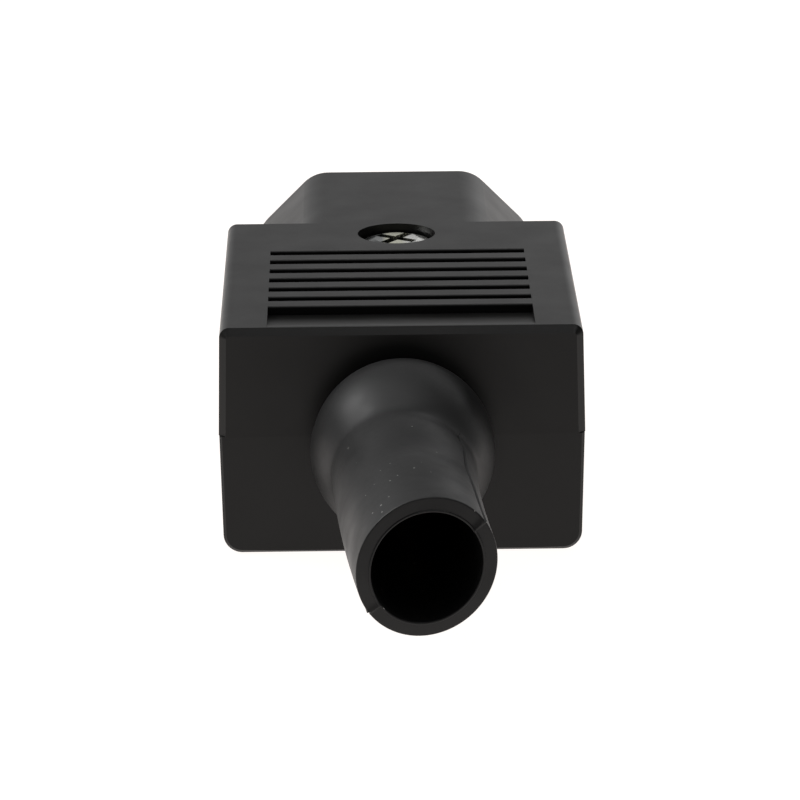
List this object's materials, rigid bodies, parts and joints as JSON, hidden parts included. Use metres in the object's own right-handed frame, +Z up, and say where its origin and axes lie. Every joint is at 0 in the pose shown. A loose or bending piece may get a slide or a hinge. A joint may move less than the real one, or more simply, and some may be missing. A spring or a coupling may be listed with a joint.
{
  "type": "rewireable mains connector",
  "caption": "Black rewireable female mains connector: two-part moulded body with grip ribs, chamfered nose with contact slots, and an empty soft cord boot that leans to one side.",
  "frame": {"origin": "centre of the body's flat underside", "axes": "+Y out of the nose along the mating direction, +Z up from the underside, +X to the right seen from the cord end"},
  "size_m": [0.0288, 0.0832, 0.0184],
  "materials": {
    "shell_plastic": "fine matte moulded black",
    "carrier_plastic": "matte moulded black",
    "boot_rubber": "soft matte black",
    "brass": "stamped",
    "plated_steel": "bright zinc plate"
  },
  "bodies": {
    "root": {"upper_shell": "shell_plastic", "lower_shell": "shell_plastic", "contact_carrier": "carrier_plastic", "cord_clamp": "carrier_plastic", "boot": "boot_rubber", "line_contact": "brass", "neutral_contact": "brass", "earth_contact": "brass", "line_terminal": "brass", "neutral_terminal": "brass", "earth_terminal": "brass", "line_terminal_screw": "plated_steel", "neutral_terminal_screw": "plated_steel", "earth_terminal_screw": "plated_steel", "cord_clamp_screws": "plated_steel", "shell_screw": "plated_steel", "shell_nut": "plated_steel"}
  },
  "joints": []
}
